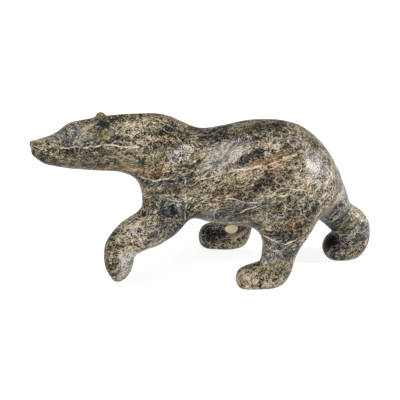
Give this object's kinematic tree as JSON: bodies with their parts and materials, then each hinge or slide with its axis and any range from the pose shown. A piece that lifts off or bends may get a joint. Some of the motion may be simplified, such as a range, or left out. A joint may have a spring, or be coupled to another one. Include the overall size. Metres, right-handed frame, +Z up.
{
  "type": "soapstone bear carving",
  "caption": "Polished soapstone carving of a walking bear with a long low neck, one forepaw lifted, standing on its other feet.",
  "frame": {"origin": "on the ground under the middle of the carving's bounding box", "axes": "+Z up, -X towards the nose, -Y towards the bear's left side, which is the side of the lifted forepaw"},
  "size_m": [0.3, 0.1184, 0.153],
  "materials": {
    "soapstone": "polished, mottled olive, grey and ochre with pale veins"
  },
  "bodies": {
    "root": {"bear": "soapstone"}
  },
  "joints": []
}
